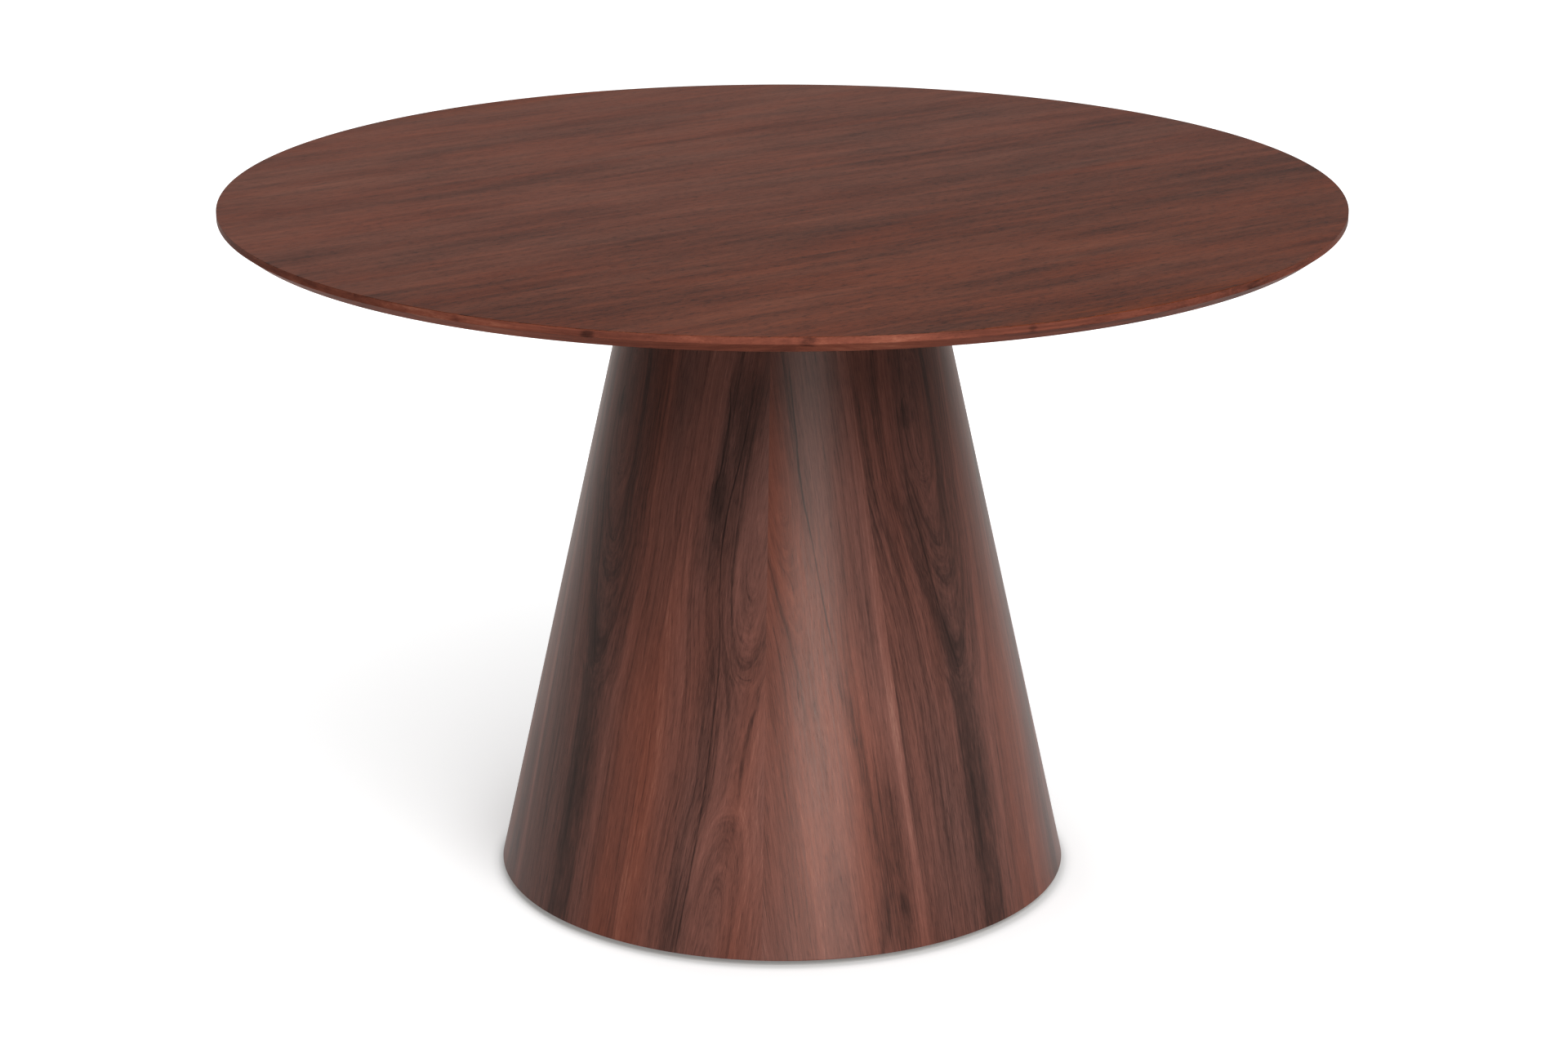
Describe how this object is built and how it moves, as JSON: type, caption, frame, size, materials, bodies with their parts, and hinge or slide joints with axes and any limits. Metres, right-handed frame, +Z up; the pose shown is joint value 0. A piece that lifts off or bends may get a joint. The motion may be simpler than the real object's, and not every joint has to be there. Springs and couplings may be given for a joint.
{
  "type": "round pedestal table",
  "caption": "Round veneered table with a thin undercut top bolted to a hollow conical pedestal on screw-adjusted levelling feet.",
  "frame": {"origin": "on the floor, under the middle of the top, with the feet as pictured", "axes": "+Z up along the pedestal's axis, -Y towards the camera, +X to the camera's right"},
  "size_m": [1.2, 1.2, 0.76],
  "materials": {
    "top_veneer": "satin lacquer",
    "lipping_wood": "satin lacquer",
    "cone_veneer": "satin lacquer",
    "backing_veneer": "sealed",
    "core_board": "raw board",
    "stained_board": "dark stain",
    "bent_plywood": "raw plywood",
    "frame_plywood": "raw plywood",
    "batten_wood": "planed softwood",
    "zinc_steel": "zinc plated",
    "pad_plastic": "moulded"
  },
  "bodies": {
    "table": {"face_veneer": "top_veneer", "edge_lipping_1": "lipping_wood", "edge_lipping_2": "lipping_wood", "edge_lipping_3": "lipping_wood", "edge_lipping_4": "lipping_wood", "edge_lipping_5": "lipping_wood", "edge_lipping_6": "lipping_wood", "edge_lipping_7": "lipping_wood", "edge_lipping_8": "lipping_wood", "shell_veneer_1": "cone_veneer", "shell_veneer_2": "cone_veneer", "shell_veneer_3": "cone_veneer", "shell_veneer_4": "cone_veneer", "backing_veneer": "backing_veneer", "top_panel": "core_board", "stiffening_disc": "stained_board", "shell_quarter_1": "bent_plywood", "shell_quarter_2": "bent_plywood", "shell_quarter_3": "bent_plywood", "shell_quarter_4": "bent_plywood", "head_plate": "frame_plywood", "base_ring": "frame_plywood", "former_1": "frame_plywood", "former_2": "frame_plywood", "seam_batten_1": "batten_wood", "seam_batten_2": "batten_wood", "seam_batten_3": "batten_wood", "seam_batten_4": "batten_wood", "disc_screws": "zinc_steel", "top_nuts": "zinc_steel", "top_bolts": "zinc_steel", "bolt_washers": "zinc_steel", "foot_nuts": "zinc_steel"},
    "foot_pad_1": {"foot_pad_1": "pad_plastic"},
    "foot_stem_1": {"foot_stem_1": "zinc_steel"},
    "foot_pad_2": {"foot_pad_2": "pad_plastic"},
    "foot_stem_2": {"foot_stem_2": "zinc_steel"},
    "foot_pad_3": {"foot_pad_3": "pad_plastic"},
    "foot_stem_3": {"foot_stem_3": "zinc_steel"},
    "foot_pad_4": {"foot_pad_4": "pad_plastic"},
    "foot_stem_4": {"foot_stem_4": "zinc_steel"},
    "foot_pad_5": {"foot_pad_5": "pad_plastic"},
    "foot_stem_5": {"foot_stem_5": "zinc_steel"},
    "foot_pad_6": {"foot_pad_6": "pad_plastic"},
    "foot_stem_6": {"foot_stem_6": "zinc_steel"}
  },
  "joints": [
    {"name": "foot_1_level", "type": "slide", "parent": "table", "child": "foot_pad_1", "axis": [0, 0, -1], "range_m": [-0.00125, 0.0125]},
    {"name": "foot_1_turn", "type": "hinge", "parent": "foot_pad_1", "child": "foot_stem_1", "pos_m": [0, -0.25002, 0], "axis": [0, 0, -1], "range_deg": [-361, 3601]},
    {"name": "foot_2_level", "type": "slide", "parent": "table", "child": "foot_pad_2", "axis": [0, 0, -1], "range_m": [-0.00125, 0.0125]},
    {"name": "foot_2_turn", "type": "hinge", "parent": "foot_pad_2", "child": "foot_stem_2", "pos_m": [0.21652, -0.12501, 0], "axis": [0, 0, -1], "range_deg": [-361, 3601]},
    {"name": "foot_3_level", "type": "slide", "parent": "table", "child": "foot_pad_3", "axis": [0, 0, -1], "range_m": [-0.00125, 0.0125]},
    {"name": "foot_3_turn", "type": "hinge", "parent": "foot_pad_3", "child": "foot_stem_3", "pos_m": [0.21652, 0.12501, 0], "axis": [0, 0, -1], "range_deg": [-361, 3601]},
    {"name": "foot_4_level", "type": "slide", "parent": "table", "child": "foot_pad_4", "axis": [0, 0, -1], "range_m": [-0.00125, 0.0125]},
    {"name": "foot_4_turn", "type": "hinge", "parent": "foot_pad_4", "child": "foot_stem_4", "pos_m": [0, 0.25002, 0], "axis": [0, 0, -1], "range_deg": [-361, 3601]},
    {"name": "foot_5_level", "type": "slide", "parent": "table", "child": "foot_pad_5", "axis": [0, 0, -1], "range_m": [-0.00125, 0.0125]},
    {"name": "foot_5_turn", "type": "hinge", "parent": "foot_pad_5", "child": "foot_stem_5", "pos_m": [-0.21652, 0.12501, 0], "axis": [0, 0, -1], "range_deg": [-361, 3601]},
    {"name": "foot_6_level", "type": "slide", "parent": "table", "child": "foot_pad_6", "axis": [0, 0, -1], "range_m": [-0.00125, 0.0125]},
    {"name": "foot_6_turn", "type": "hinge", "parent": "foot_pad_6", "child": "foot_stem_6", "pos_m": [-0.21652, -0.12501, 0], "axis": [0, 0, -1], "range_deg": [-361, 3601]}
  ],
  "couplings": [
    {"joint": "foot_1_turn", "follows": "foot_1_level", "rad_per_m": 5026.5},
    {"joint": "foot_2_turn", "follows": "foot_2_level", "rad_per_m": 5026.5},
    {"joint": "foot_3_turn", "follows": "foot_3_level", "rad_per_m": 5026.5},
    {"joint": "foot_4_turn", "follows": "foot_4_level", "rad_per_m": 5026.5},
    {"joint": "foot_5_turn", "follows": "foot_5_level", "rad_per_m": 5026.5},
    {"joint": "foot_6_turn", "follows": "foot_6_level", "rad_per_m": 5026.5}
  ]
}
